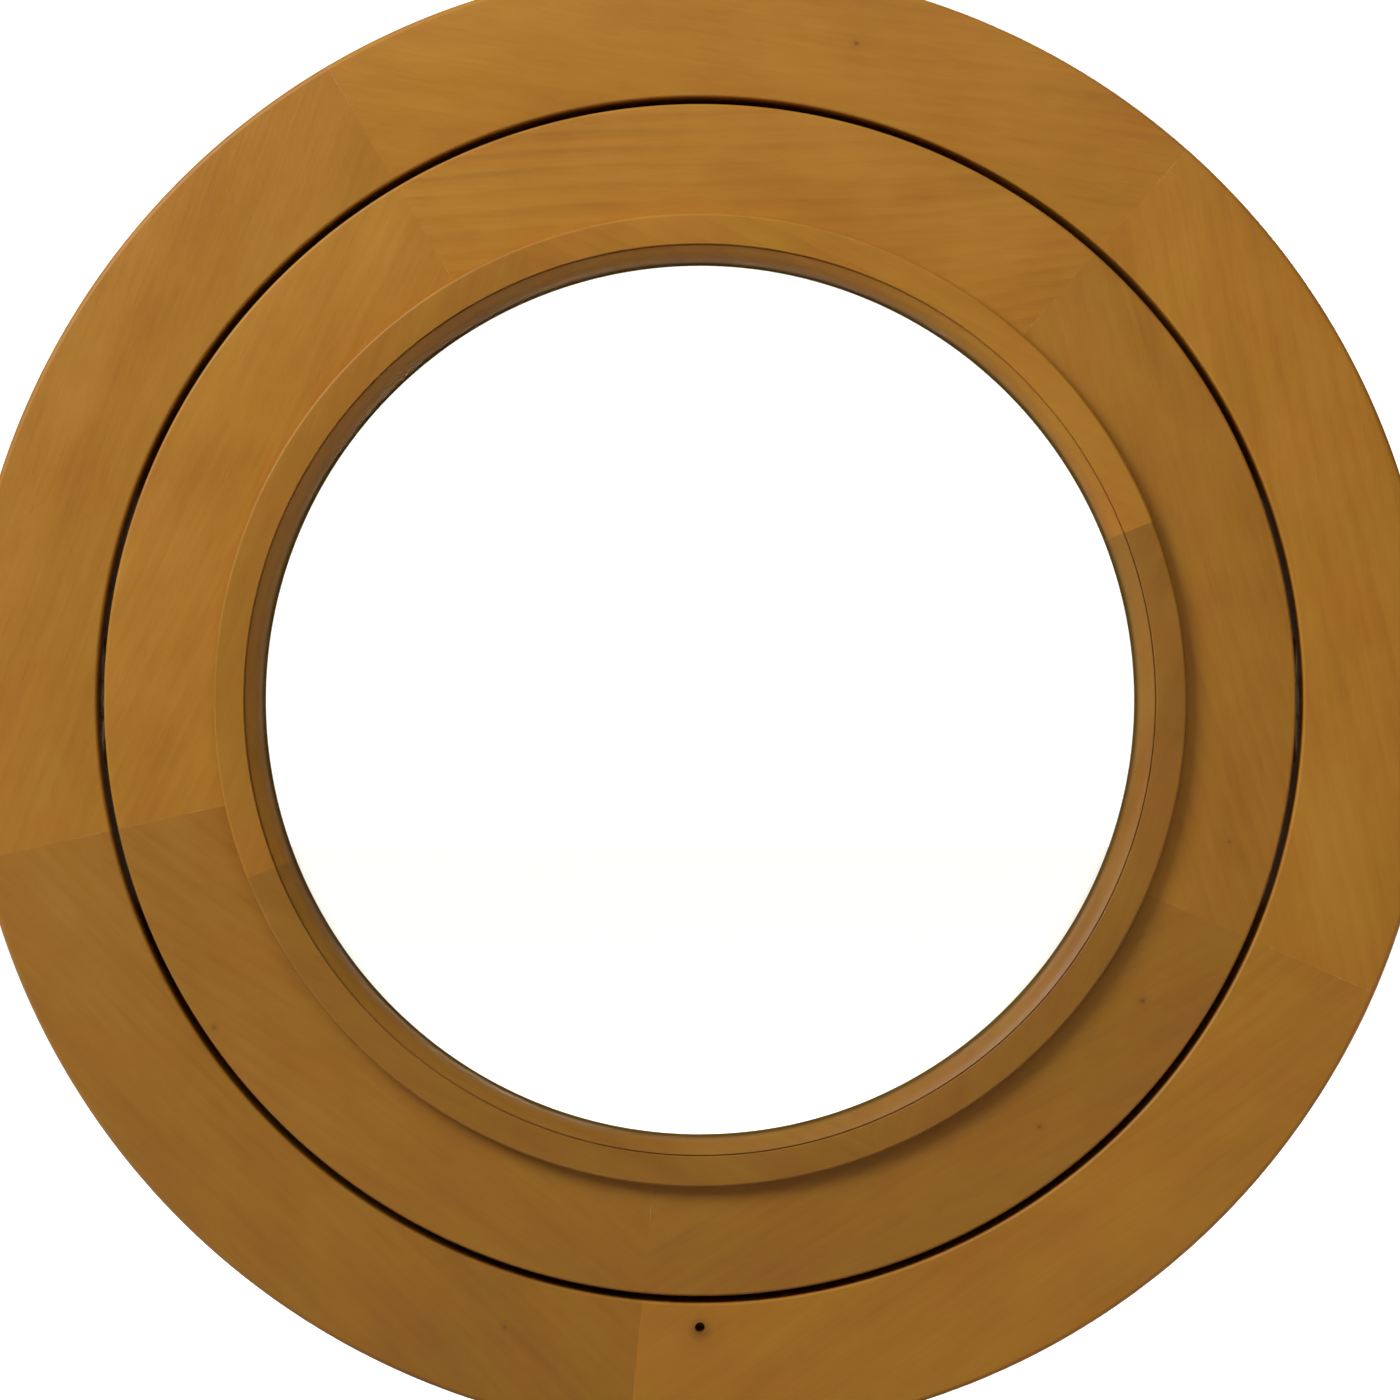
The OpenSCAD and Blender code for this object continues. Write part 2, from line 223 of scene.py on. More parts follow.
def rounded(corners, steps=6):
    """An outline with arcs for corners: each corner is (across, up, rounding)."""
    outline = []
    for i, (x, y, radius) in enumerate(corners):
        here = Vector((x, y))
        if not radius:
            outline.append((x, y))
            continue
        beside = (corners[i - 1], corners[(i + 1) % len(corners)])
        before, after = ((Vector(corner[:2]) - here).normalized() for corner in beside)
        half = before.angle(after) / 2
        centre = here + (before + after).normalized() * radius / math.sin(half)
        first, last = (here + way * radius / math.tan(half) - centre for way in (before, after))
        for k in range(steps + 1):
            outline.append(tuple(centre + first.lerp(last, k / steps).normalized() * radius))
    return outline


def box_outline(box, radius):
    """The outline of a plain ring with rounded edges, from the ring's reach."""
    corners = ((box.inner, box.low), (box.outer, box.low), (box.outer, box.high), (box.inner, box.high))
    return rounded([(across, up, radius) for across, up in corners])


def stadium(length, width, inset=0.0, steps=16):
    """The points of a plate's outline with half-round ends, its length along Y."""
    radius = width / 2 - inset
    flat = (length - width) / 2
    points = []
    for side in (1, -1):
        for k in range(steps + 1):
            a = math.pi * k / steps
            points.append((side * radius * math.cos(a), side * (flat + radius * math.sin(a))))
    return points


def stacked(name, levels, place):
    """A solid through flat outlines: levels holds (outline, height) pairs along place's Z axis."""
    return loft(name, [[place @ Vector((x, y, z)) for x, y in outline] for outline, z in levels])


def carve(obj, cutters, operation="DIFFERENCE"):
    """Cuts the cutters out of a solid, or joins them to it, and takes them away."""
    for cutter in cutters:
        step = obj.modifiers.new("carve", "BOOLEAN")
        step.operation = operation
        step.solver = "MANIFOLD"
        step.object = cutter
    bpy.context.view_layer.update()
    before = len(obj.data.vertices)
    carved = bpy.data.meshes.new_from_object(obj.evaluated_get(bpy.context.evaluated_depsgraph_get()))
    if cutters and len(carved.vertices) in (0, before):
        raise RuntimeError(f"nothing was carved on {obj.name}")
    carved.materials.clear()
    obj.modifiers.clear()
    obj.data = carved
    for cutter in cutters:
        bpy.data.objects.remove(cutter)
    return obj


def joined(name, objs):
    """Several solids as one object, left as separate shells."""
    bm = bmesh.new()
    for obj in objs:
        bm.from_mesh(obj.data)
        bpy.data.objects.remove(obj)
    mesh = bpy.data.meshes.new(name)
    bm.to_mesh(mesh)
    bm.free()
    return placed(name, mesh)


def stand_for(obj, node, material):
    """Finishes a piece: smooth faces, its material, and its place in a CAD node's stead."""
    obj.data.name = obj.name
    obj.data.shade_smooth()
    obj.data.set_sharp_from_angle(angle=CREASE)
    obj.data.materials.append(material)
    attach(obj, BODY_OF[node])
    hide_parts(node)


# ---- Materials ----


def feed(tree, socket, value):
    """Sets a socket to a value, or links it to another socket."""
    if isinstance(value, bpy.types.NodeSocket):
        tree.links.new(value, socket)
    else:
        socket.default_value = value


def add_node(tree, kind, inputs=(), **settings):
    """Adds a node with its settings, and feeds its inputs."""
    made = tree.nodes.new(kind)
    for name, value in settings.items():
        setattr(made, name, value)
    for socket, value in dict(inputs).items():
        feed(tree, made.inputs[socket], value)
    return made


class Finish:
    """A material's node tree and short ways to add to it."""

    def __init__(self, name, **settings):
        self.material = bpy.data.materials.new(name)
        self.material.use_nodes = True
        self.tree = self.material.node_tree
        self.shader = self.tree.nodes["Principled BSDF"]
        self.place = self.node("ShaderNodeTexCoord").outputs["Object"]
        for socket, value in settings.items():
            self.shader.inputs[socket.replace("_", " ")].default_value = value

    def node(self, kind, inputs=(), **settings):
        return add_node(self.tree, kind, inputs, **settings)

    def shade(self, socket, value):
        feed(self.tree, self.shader.inputs[socket], value)

    def math(self, operation, *values):
        return self.node("ShaderNodeMath", enumerate(values), operation=operation).outputs[0]

    def stretched(self, vector, scale, turn=(0, 0, 0), shift=(0, 0, 0)):
        inputs = {"Vector": vector, "Scale": scale, "Rotation": turn, "Location": shift}
        return self.node("ShaderNodeMapping", inputs).outputs[0]

    def noise(self, vector, scale, detail=2.0, roughness=0.5):
        inputs = {"Vector": vector, "Scale": scale, "Detail": detail, "Roughness": roughness}
        return self.node("ShaderNodeTexNoise", inputs).outputs[0]

    def drawn_out(self, vector, scales, detail, roughness=0.5, shift=(0, 0, 0)):
        """Noise with a scale of its own along each axis."""
        return self.noise(self.stretched(vector, scales, shift=shift), 1.0, detail, roughness)

    def fade(self, value, low, high, to_low=0.0, to_high=1.0):
        """A smooth passage from to_low to to_high as the value goes from low to high."""
        inputs = {"Value": value, "From Min": low, "From Max": high, "To Min": to_low, "To Max": to_high}
        return self.node("ShaderNodeMapRange", inputs, interpolation_type="SMOOTHSTEP").outputs[0]

    def mix(self, share, first, second):
        return self.node("ShaderNodeMix", {0: share, 6: first, 7: second}, data_type="RGBA").outputs[2]

    def ramp(self, value, *stops):
        made = self.node("ShaderNodeValToRGB", {0: value})
        while len(made.color_ramp.elements) < len(stops):
            made.color_ramp.elements.new(0.5)
        for element, (position, colour) in zip(made.color_ramp.elements, stops):
            element.position = position
            element.color = colour
        return made.outputs[0]

    def away_from(self, place):
        """The distance of each point from a place."""
        inputs = {0: self.place, 1: place}
        return self.node("ShaderNodeVectorMath", inputs, operation="DISTANCE").outputs["Value"]

    def bump(self, height, depth):
        self.shade("Normal", self.node("ShaderNodeBump", {"Height": height, "Distance": depth}).outputs[0])


def scaled(colour, share):
    """A colour made darker or lighter by a share."""
    return (*(min(1.0, c * share) for c in colour[:3]), 1.0)


SHEEN = 0.28
# Height over which the painted shade at a piece's foot fades out.
FOOT_SHADE_FADE = 5 * MM
# How much deeper in the tree a board lies for each step of its seed.
LOG_STEP = 0.37


def growth(wood, plank, board):
    """The late wood of the growth rings, and the ripple that bends it."""
    looks = finishes()
    sway = wood.drawn_out(plank, (2.2, 6, 6), 1.0)
    ripple = wood.drawn_out(plank, (14, 30, 30), 2.0)
    along, into, across = wood.node("ShaderNodeSeparateXYZ", {0: plank}).outputs

    # The rings are cones about the tree's heart, which lies behind the board.
    side = wood.math("MULTIPLY_ADD", sway, 55 * MM, across)
    depth = wood.math("ADD", into, looks.heart - board.seed * LOG_STEP)
    squares = [wood.math("POWER", distance, 2.0) for distance in (side, depth)]
    heart = wood.math("SQRT", wood.math("ADD", *squares))
    coned = wood.math("MULTIPLY_ADD", along, looks.taper, heart)
    bent = wood.math("MULTIPLY_ADD", ripple, 3.5 * MM, coned)
    ring = wood.math("FRACT", wood.math("DIVIDE", bent, looks.ring_width))
    late = wood.math("MULTIPLY", wood.fade(ring, 0.1, 0.8), wood.fade(ring, 0.8, 1.0, 1.0, 0.0))
    seen = wood.fade(sway, 0.35, 0.65, board.figure * 0.3, board.figure)
    return wood.math("MULTIPLY", late, seen), ripple


def spotted(wood, spots, ripple, colour, dark):
    """A colour with pin knots and stains over it, each with a dark halo; one spot on the frame is painted
    shade round the catch hole.
    """
    for spot in spots:
        r, a = spot.radius, math.radians(spot.angle)
        centre = (r * math.cos(a), -FRAME.high, r * math.sin(a))
        uneven = wood.math("SUBTRACT", ripple, 0.5)
        far = wood.math("MULTIPLY_ADD", uneven, spot.size, wood.away_from(centre))
        halo = wood.fade(far, spot.size * 0.2, spot.size * 2.6, 0.45, 0.0)
        colour = wood.mix(halo, colour, dark)
        colour = wood.mix(wood.fade(far, 0, spot.size, 0.5, 0.0), colour, finishes().knot_and_hole_shade)
    return colour


def timber(name, board, middle, foot=None):
    """Stained timber whose grain runs square to the angle of the board's middle.

    foot is the height below which the piece is painted dark, a painted shade on the bead's inner face beside
    the glass, where its coat and sheen also fade out."""
    looks = finishes()
    wood = Finish(name, Coat_Weight=looks.coat, Coat_Roughness=0.35, Specular_IOR_Level=SHEEN)
    turn = (0, math.radians(middle + 90 + board.tilt), 0)
    plank = wood.stretched(wood.place, (1, 1, 1), turn, (board.seed, board.seed * LOG_STEP, 0))
    rings, ripple = growth(wood, plank, board)
    streaks = wood.drawn_out(plank, (3.5, 40, 60), 3.0, 0.6)
    fibres = wood.drawn_out(plank, (30, 420, 560), 3.0, 0.6)
    cloud = wood.drawn_out(plank, (11, 20, 20), 4.0, 0.6)
    pores = wood.fade(wood.drawn_out(plank, (60, 900, 1500), 2.0), 0.63, 0.74)

    shade = wood.math("MULTIPLY_ADD", rings, -0.3, 0.53)
    for grain, share in ((streaks, 0.45), (fibres, 0.3), (cloud, 0.9)):
        shade = wood.math("ADD", shade, wood.math("MULTIPLY", wood.math("SUBTRACT", grain, 0.5), share))
    shade = wood.math("MULTIPLY_ADD", pores, -0.08, shade)
    # Each board's tone scales its stain: partly the board's own tone, partly painted shade that darkens the
    # boards round the bottom, where less light falls.
    dark, mid, light = (scaled(c, board.tone) for c in (looks.stain_dark, looks.stain, looks.stain_light))
    colour = wood.ramp(shade, (0.12, dark), (0.5, mid), (0.88, light))
    patches = wood.drawn_out(plank, (20, 34, 34), 3.0, 0.55, (board.seed, 0, 0))
    hue = wood.fade(patches, 0.34, 0.66, 0.497, 0.503)
    colour = wood.node("ShaderNodeHueSaturation", {"Color": colour, "Hue": hue}).outputs[0]
    colour = spotted(wood, board.spots, ripple, colour, dark)
    # Below foot the timber is painted dark as shade on the bead's inner face beside the glass; its coat and
    # sheen fade out there too.
    if foot:
        height = wood.node("ShaderNodeSeparateXYZ", {0: wood.place}).outputs[1]
        low = wood.math("MULTIPLY_ADD", ripple, 2 * MM, height)
        fade = (low, -foot - FOOT_SHADE_FADE, -foot)
        colour = wood.mix(wood.fade(*fade, 0.0, 0.8), colour, looks.foot_painted_shade)
        wood.shade("Coat Weight", wood.fade(*fade, looks.coat, 0.0))
        wood.shade("Specular IOR Level", wood.fade(*fade, SHEEN, 0.0))
    wood.shade("Base Color", colour)
    wood.shade("Roughness", wood.fade(wood.math("ADD", cloud, fibres), 0.7, 1.3, 0.4, 0.55))
    grain = wood.math("MULTIPLY_ADD", pores, -0.8, fibres)
    wood.bump(wood.math("MULTIPLY_ADD", rings, 0.5, grain), looks.grain_depth)
    return wood.material


def beech():
    """Pale dowel timber with short dark rays."""
    wood = Finish("dowel beech", Specular_IOR_Level=0.35)
    rays = wood.noise(wood.place, 420, 3.0, 0.6)
    cloud = wood.noise(wood.place, 35, 2.0)
    colour = wood.ramp(cloud, (0.3, (0.50, 0.31, 0.15, 1)), (0.7, (0.62, 0.42, 0.23, 1)))
    wood.shade("Base Color", wood.mix(wood.fade(rays, 0.56, 0.7, 0.0, 0.6), colour, (0.28, 0.15, 0.06, 1)))
    wood.shade("Roughness", wood.fade(rays, 0.3, 0.7, 0.5, 0.7))
    wood.bump(rays, 0.05 * MM)
    return wood.material


def metal(name, colour, tint, smooth, rough):
    """Worked metal: cloudy tint, fine scratches and a roughness that varies with them."""
    face = Finish(name, Metallic=1.0)
    cloud = face.noise(face.place, 90, 4.0, 0.6)
    scratches = face.drawn_out(face.place, (300, 4000, 4000), 2.0)
    face.shade("Base Color", face.mix(face.fade(cloud, 0.35, 0.7), colour, tint))
    face.shade("Roughness", face.fade(face.math("ADD", cloud, scratches), 0.7, 1.3, smooth, rough))
    face.bump(scratches, 0.01 * MM)
    return face.material


def moulded(name, colour, worn, smooth, rough, pebble, depth):
    """Plastic or rubber: a fine moulded surface, a little paler where it is rubbed or dusty."""
    face = Finish(name, Specular_IOR_Level=0.4)
    cloud = face.noise(face.place, 55, 4.0, 0.6)
    grit = face.noise(face.place, pebble, 2.0)
    face.shade("Base Color", face.mix(face.fade(cloud, 0.4, 0.75), colour, worn))
    face.shade("Roughness", face.fade(grit, 0.3, 0.7, smooth, rough))
    face.bump(grit, depth)
    return face.material


def clear_glass(edge_from, edge_to):
    """Clear glass, greener close to the cut edge."""
    looks = finishes()
    glass = Finish("clear glass", Transmission_Weight=1.0, IOR=1.52)
    flat = glass.stretched(glass.place, (1, 0, 1))
    from_axis = glass.node("ShaderNodeVectorMath", {0: flat}, operation="LENGTH").outputs["Value"]
    edge = glass.fade(from_axis, edge_from, edge_to)
    glass.shade("Base Color", glass.mix(edge, looks.glass, looks.glass_edge))
    haze = glass.noise(glass.place, 14, 4.0, 0.6)
    glass.shade("Roughness", glass.fade(haze, 0.5, 0.8, 0.0, 0.012))
    return glass.material


# ---- Sizes and colours ----


# Degrees between the sections of a ring.
STEP = 1.0
FRAME = reach(cad("frame_segment_1"))
SASH = reach(cad("sash_segment_1"))
BEAD = reach(cad("bead_segment_1"))
PANE = reach(cad("glass_front"))


def number(name, about, default, **settings):
    return bpy.props.FloatProperty(name=name, description=about, default=default, **settings)


def length(name, about, millimetres):
    return number(name, about, millimetres * MM, unit="LENGTH", precision=5)


def colour(name, about, default):
    return bpy.props.FloatVectorProperty(
        name=name, description=about, default=(*default, 1.0), size=4, subtype="COLOR", min=0, max=1
    )


class WindowSizes(bpy.types.PropertyGroup):
    arris: length("Arris", "Rounding of the rings' long edges", 3)
    gap_arris: length("Gap arris", "Rounding of the edges that face the gap on the room side", 1.6)
    small_arris: length("Small arris", "Rounding of the lesser timber edges", 0.8)
    joint_line: length("Joint line", "Open hairline at each glued joint", 0.01)
    lip_chamfer: length("Lip chamfer", "Chamfer on the sash lip's outside edge", 6)
    bead_nose: length("Bead nose", "Rounding of the bead's outer top edge", 1.5)
    moulding: length("Moulding", "Width of the bead's inner moulding", 10.5)
    moulding_slope: number("Moulding slope", "Slope of the moulding's top", math.radians(30), subtype="ANGLE")
    quirk: length("Quirk", "Height of the step beside the moulding", 2)
    groove_width: length("Groove width", "Width of the groove beside the moulding", 0.7)
    groove_depth: length("Groove depth", "Depth of the groove beside the moulding", 1.2)
    bead_fall: number("Bead fall", "Fall of the bead's top to the glass", math.radians(5), subtype="ANGLE")
    thread_pitch: length("Thread pitch", "Pitch of the wood screws' thread", 1.8)
    thread_depth: length("Thread depth", "Depth of the wood screws' thread", 0.6)
    flute: length("Flute", "Depth of the dowels' flutes", 0.35)
    seam: length("Glass seam", "Ground chamfer on the panes' edges", 0.6)
    metal_edge: length("Metal edge", "Rounding of the metal parts' edges", 0.8)
    bulb_wall: length("Bulb wall", "Wall of the hollow rubber seals", 0.7)


class WindowFinishes(bpy.types.PropertyGroup):
    stain: colour("Stain", "Timber colour", (0.397, 0.172, 0.0152))
    stain_light: colour("Light stain", "Timber colour of the palest grain", (0.457, 0.217, 0.026))
    stain_dark: colour("Dark stain", "Timber colour of the darkest grain", (0.308, 0.124, 0.0094))
    # Also painted as shade round the catch hole's mouth.
    knot_and_hole_shade: colour("Knot", "Colour of pin knots and stains", (0.045, 0.016, 0.006))
    # Dark colour painted as shade on the bead's foot beside the glass.
    foot_painted_shade: colour("Glass side", "Colour of the bead's foot beside the glass", (0.085, 0.052, 0.012))
    coat: number("Coat", "Share of clear satin coat", 0.08, min=0, max=1)
    grain_depth: length("Grain depth", "Depth of the grain's relief", 0.05)
    ring_width: length("Ring width", "Distance between growth rings", 9)
    taper: number("Taper", "Taper of the growth rings", 0.055)
    heart: length("Heart", "Depth of the tree's heart behind the boards", 60)
    glass: colour("Glass", "Colour of the panes", (0.985, 1.0, 0.99))
    glass_edge: colour("Glass edge", "Colour near the panes' cut edge", (0.45, 0.72, 0.58))
    brass: colour("Brass", "Colour of the frame's pivots", (0.62, 0.43, 0.17))
    zinc: colour("Zinc", "Colour of the plated steel", (0.58, 0.59, 0.58))
    aluminium: colour("Aluminium", "Colour of the spacer bar", (0.66, 0.67, 0.68))
    rubber: colour("Rubber", "Colour of the seals", (0.018, 0.018, 0.017))
    nylon: colour("Nylon", "Colour of the friction washers", (0.70, 0.67, 0.58))


class StageSettings(bpy.types.PropertyGroup):
    floor: colour("Floor", "Colour of the floor", (0.88, 0.875, 0.865))
    floor_size: length("Floor size", "Width of the floor", 24000)
    view_width: length("View width", "Width that the camera sees at the window's face", 760.7)
    distance: length("Distance", "Distance from the camera to the window's face", 3000)
    background: number("Background", "Brightness behind the window", 1.3)
    ambient: number("Ambient", "Soft light from all round", 0.20)
    ambient_tint: colour("Ambient tint", "Warm tint of the soft light from all round", (1.0, 0.80, 0.50))
    key: number("Key", "Power of the main light", 86.0, unit="POWER")
    top: number("Top", "Power of the light from above", 5.0, unit="POWER")
    rear: number("Rear", "Power of the light behind", 60.0, unit="POWER")
    overhead: number("Overhead", "Strength of the light on the floor", 3.6)


def sizes():
    return bpy.context.scene.window_sizes


def finishes():
    return bpy.context.scene.window_finishes


# ---- Fixings and the room they take ----


GLUE_LINE = 0.05 * MM
FIT = 0.2 * MM
OVER = 1 * MM
MOUTH = 0.4 * MM


def screw_hole(rod):
    """The countersunk hole of a wood screw, open at its head."""
    head, shank = rod.radius + GLUE_LINE, rod.radius / 2 + GLUE_LINE
    profile = [(head, -OVER), (head, 0), (shank, rod.radius / 2), (shank, rod.length + GLUE_LINE)]
    return spun("screw hole", profile, rod.place, 40)


def round_hole(rod, before=0.0):
    """A plain hole a little wider than a bar, open by so much before it."""
    radius = rod.radius + GLUE_LINE
    return spun("hole", [(radius, -before), (radius, rod.length + GLUE_LINE)], rod.place, 32)


def brad_hole(rod):
    return round_hole(rod, 2 * OVER)


def crosses(rod, arc, margin):
    """Whether a bar's angle lies within an arc, or within a margin of it."""
    middle = rod.place @ Vector((0, 0, rod.length / 2))
    angle = math.degrees(math.atan2(middle.z, middle.x))
    return (angle - arc[0] + margin) % 360 < arc[1] - arc[0] + 2 * margin


def plate_place(plate, outward):
    """A pivot plate's face: local Z runs into the timber behind it, and local Y runs up."""
    x = plate.near if outward else plate.far
    way = plate.side if outward else -plate.side
    return aimed((plate.side * x, 0, 0), (way, 0, 0))


def plate_boss(plate, outward):
    """The length of a plate's boss from its face, and its radius."""
    if outward:
        return plate.outer - plate.near, plate.outer_radius
    return plate.far - plate.inner, plate.inner_radius


def plate_room(node, outward):
    """The recess for a pivot plate, open to the gap, and the hole for its boss."""
    plate = pivot(node)
    place = plate_place(plate, outward)
    depth, radius = plate_boss(plate, outward)
    outline = stadium(plate.length + 2 * FIT, plate.width + 2 * FIT)
    lift = 2 * (FRAME.inner - SASH.outer)
    recess = stacked("recess", [(outline, -lift), (outline, plate.far - plate.near)], place)
    return [recess, spun("boss room", [(radius + FIT, -OVER), (radius + FIT, depth + FIT)], place)]


# ---- Timber pieces ----


# The maker of each kind of bar's hole, and how far past a joint it is still cut, in degrees.
HOLES = {"dowels": (round_hole, 8.0), "screws": (screw_hole, 1.5), "brads": (brad_hole, 1.5)}
PIVOTS = (("right", 0), ("left", 180))
# A board's first number is partly its own tone and partly painted shade: the boards round the bottom are made
# darker, where less light falls.
FRAME_BOARDS = (
    Board(1.07, -4, 3.1, (Spot(0.3667, 76.6, 2.0 * MM),)),
    Board(0.99, 3, 7.7),
    Board(0.82, -5, 12.9, (Spot(0.357, 252.7, 2.0 * MM),)),
    # The large spot at 270 degrees is painted shade round the catch hole's mouth, not a knot.
    Board(1.03, 4, 18.2, (Spot(0.3422, 270.0, 7.5 * MM),)),
    Board(1.10, -2, 24.6),
)
SASH_BOARDS = (
    Board(1.09, 7, 31.4, figure=0.9),
    Board(1.05, -3, 37.5),
    Board(0.83, 4, 42.8, (Spot(0.3185, 214.0, 1.8 * MM),)),
    Board(0.83, -3, 48.3, (Spot(0.2907, 325.8, 2.4 * MM), Spot(0.2963, 308.5, 1.6 * MM))),
    Board(0.96, 2, 55.1, (Spot(0.2978, 345.0, 1.8 * MM),)),
)
BEAD_BOARDS = (
    Board(1.07, -3, 61.2),
    Board(0.93, 3, 66.7),
    Board(0.72, -2, 72.4),
    Board(0.72, 3, 79.9),
)
STOP_BOARDS = {"frame": Board(1.00, 0, 84.3), "sash": Board(0.97, 2, 91.8)}


def build_lengths(stem, name, boards, outline, bars, more_holes=None, foot=None):
    """Builds a ring from its lengths, each from its own board.

    bars names the nodes it is drilled for, more_holes gives the other cutters within an arc, and foot is the
    height below which the timber is painted dark as shade."""
    drilled = [(*HOLES[kind.split("_")[-1]], rod) for kind in bars for rod in rods(kind)]
    for i, board in enumerate(boards, 1):
        node = f"{stem}_segment_{i}"
        arc = span(cad(node))
        back = math.degrees(sizes().joint_line / 2 / FRAME.outer)
        piece = turned(f"{name}_{i}", outline, arc[0] + back, arc[1] - back)
        cutters = [make(rod) for make, margin, rod in drilled if crosses(rod, arc, margin)]
        cutters += more_holes(arc) if more_holes else []
        carve(piece, cutters)
        stand_for(piece, node, timber(f"{name} {i}", board, sum(arc) / 2, foot))


def pivot_rooms(kind, arc):
    """The rooms for the pivot plates that lie within an arc."""
    rooms = []
    for name, angle in PIVOTS:
        if (angle - arc[0]) % 360 < arc[1] - arc[0]:
            rooms += plate_room(f"{kind}_pivot_{name}", kind == "frame")
    return rooms


def frame_rooms(arc):
    """The rooms for the pivots, and the hole for a catch, that lie within an arc."""
    rooms = pivot_rooms("frame", arc)
    mount = next(m for m in frame["record"]["mounts"] if m["name"] == "catch_hole")
    radius, depth = mount["dims"]["r_mm"] * MM, mount["dims"]["length_mm"] * MM
    rod = Rod(aimed(Vector(mount["pos_m"]), -Vector(mount["axis"])), depth, radius)
    if crosses(rod, arc, 0):
        # Use has slightly opened its mouth.
        mouth = radius + MOUTH
        profile = [(mouth, -OVER), (mouth, 0), (radius, 1.6 * MOUTH), (radius, depth)]
        rooms.append(spun("catch hole", profile, rod.place))
    return rooms


class ROUNDWINDOW_OT_frame_ring(bpy.types.Operator):
    """Build the glued lengths of the frame ring"""

    bl_idname = "roundwindow.frame_ring"
    bl_label = "Frame Ring"

    def execute(self, context):
        arris = sizes().arris
        outline = rounded([
            (FRAME.inner, FRAME.low, arris),
            (FRAME.outer, FRAME.low, arris),
            (FRAME.outer, FRAME.high, arris),
            (FRAME.inner, FRAME.high, sizes().gap_arris),
        ])
        bars = ("frame_dowels", "frame_pivot_screws", "frame_stop_screws")
        build_lengths("frame", "frame_ring", FRAME_BOARDS, outline, bars, frame_rooms)
        return {"FINISHED"}


class ROUNDWINDOW_OT_sash_ring(bpy.types.Operator):
    """Build the glued lengths of the sash ring, with the rebate and lip that hold the glass"""

    bl_idname = "roundwindow.sash_ring"
    bl_label = "Sash Ring"

    def execute(self, context):
        rebate = reach(cad("setting_blocks")).outer + GLUE_LINE
        lip = reach(cad("rear_tape")).low
        small, chamfer = sizes().small_arris, sizes().lip_chamfer
        outline = rounded([
            (SASH.inner + chamfer, SASH.low, small),
            (SASH.outer, SASH.low, sizes().arris),
            (SASH.outer, SASH.high, sizes().gap_arris),
            (rebate, SASH.high, small / 2),
            (rebate, lip, 0),
            (SASH.inner, lip, small),
            (SASH.inner, SASH.low + chamfer, small),
        ])
        bars = ("sash_dowels", "sash_pivot_screws", "sash_stop_screws", "bead_brads")
        build_lengths("sash", "sash_ring", SASH_BOARDS, outline, bars, lambda arc: pivot_rooms("sash", arc))
        return {"FINISHED"}


class ROUNDWINDOW_OT_glazing_bead(bpy.types.Operator):
    """Build the raised bead: a falling flat top, a step and a rounded moulding"""

    bl_idname = "roundwindow.glazing_bead"
    bl_label = "Glazing Bead"

    steps = 12
    # Height above the bead's back below which its timber is painted dark as shade beside the glass.
    painted_shade_height = 9 * MM

    def execute(self, context):
        own = sizes()
        step = BEAD.inner + own.moulding
        top = BEAD.high + own.bead_nose * math.tan(own.bead_fall)
        step_top = top - (BEAD.outer - step) * math.tan(own.bead_fall)
        slope, crisp = own.moulding_slope, own.small_arris / 2
        radius = own.moulding / (1 - math.sin(slope))
        moulding_top = step_top - own.quirk
        centre = moulding_top - radius * math.cos(slope)
        start = math.asin(math.sin(slope) + own.groove_width / radius)
        outline = rounded([
            (BEAD.inner, BEAD.low, crisp),
            (BEAD.outer, BEAD.low, 0),
            (BEAD.outer, top, own.bead_nose),
            (step, step_top, crisp),
            (step, moulding_top - own.groove_depth, 0),
            (step - own.groove_width, moulding_top - own.groove_depth, 0),
        ])
        for k in range(self.steps + 1):
            a = math.pi / 2 + start + (math.pi / 2 - start) * k / self.steps
            outline.append((BEAD.inner + radius + radius * math.cos(a), centre + radius * math.sin(a)))
        foot = BEAD.low + self.painted_shade_height
        build_lengths("bead", "glazing_bead", BEAD_BOARDS, outline, ("bead_brads",), foot=foot)
        return {"FINISHED"}


class ROUNDWINDOW_OT_outside_stops(bpy.types.Operator):
    """Build the half-round stops on the outside, each cut back where its seal closes"""

    bl_idname = "roundwindow.outside_stops"
    bl_label = "Outside Stops"

    def execute(self, context):
        small, arris = sizes().small_arris, sizes().arris
        gap_middle = (FRAME.inner + SASH.outer) / 2
        for kind, board in STOP_BOARDS.items():
            points = cad(f"{kind}_stop")
            stop, arc = reach(points), span(points)
            cut = reach(cad(f"{kind}_stop_seal")).low
            seat, lap = (stop.outer, stop.inner) if kind == "frame" else (stop.inner, stop.outer)
            outline = rounded([
                (seat, stop.low, arris),
                (seat, stop.high, 0),
                (gap_middle, stop.high, 0),
                (gap_middle, cut, 0),
                (lap, cut, small),
                (lap, stop.low, arris),
            ])
            piece = turned(f"outside_stop_{kind}", outline, *arc)
            carve(piece, [screw_hole(rod) for rod in rods(f"{kind}_stop_screws")])
            stand_for(piece, f"{kind}_stop", timber(f"{kind} stop", board, sum(arc) / 2))
        return {"FINISHED"}


